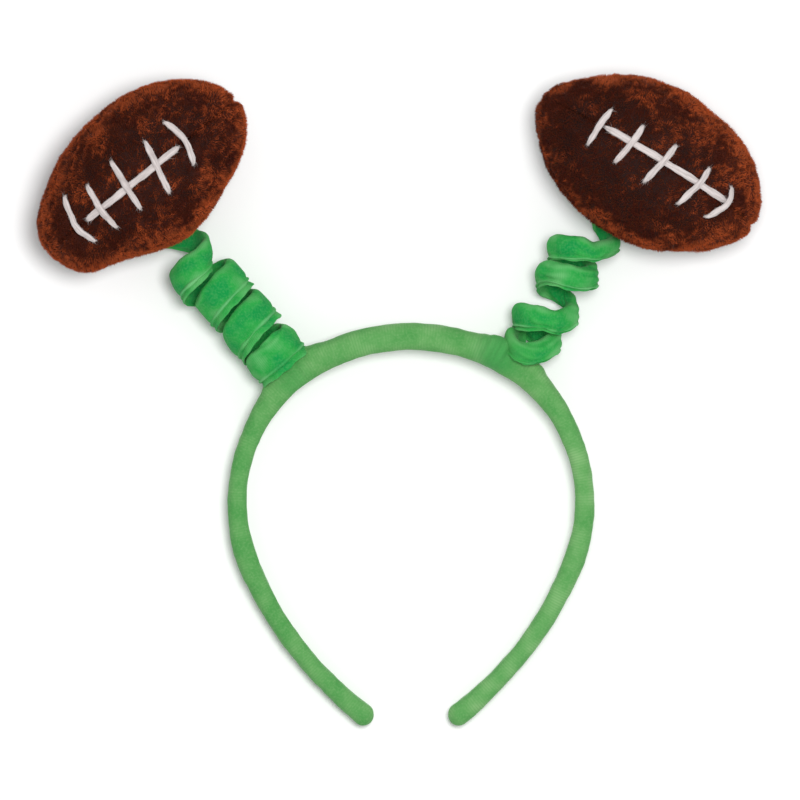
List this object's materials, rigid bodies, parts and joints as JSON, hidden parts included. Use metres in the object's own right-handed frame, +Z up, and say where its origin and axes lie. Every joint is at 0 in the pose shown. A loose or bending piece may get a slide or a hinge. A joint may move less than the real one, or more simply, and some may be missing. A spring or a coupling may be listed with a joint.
{
  "type": "head bopper: headband with two plush footballs on springs",
  "caption": "Green velour headband carrying plush brown footballs with white laces on coiled velour springs.",
  "frame": {"origin": "on the surface that it lies on, under the middle of the whole object's box", "axes": "+Z up off the surface, +X to the wearer's left as the front is seen from above, +Y from the band's tips to the footballs"},
  "size_m": [0.2816, 0.2538, 0.0567],
  "materials": {
    "green_velour": "matte",
    "brown_plush": "matte",
    "white_yarn": "matte"
  },
  "bodies": {
    "root": {"headband": "green_velour", "coil_left": "green_velour", "coil_right": "green_velour", "ball_left_front_upper": "brown_plush", "ball_left_front_lower": "brown_plush", "ball_left_back_upper": "brown_plush", "ball_left_back_lower": "brown_plush", "lace_left_spine": "white_yarn", "lace_left_stitch_1": "white_yarn", "lace_left_stitch_2": "white_yarn", "lace_left_stitch_3": "white_yarn", "lace_left_stitch_4": "white_yarn", "lace_left_stitch_5": "white_yarn", "ball_right_front_upper": "brown_plush", "ball_right_front_lower": "brown_plush", "ball_right_back_upper": "brown_plush", "ball_right_back_lower": "brown_plush", "lace_right_spine": "white_yarn", "lace_right_stitch_1": "white_yarn", "lace_right_stitch_2": "white_yarn", "lace_right_stitch_3": "white_yarn", "lace_right_stitch_4": "white_yarn", "lace_right_stitch_5": "white_yarn"}
  },
  "joints": []
}
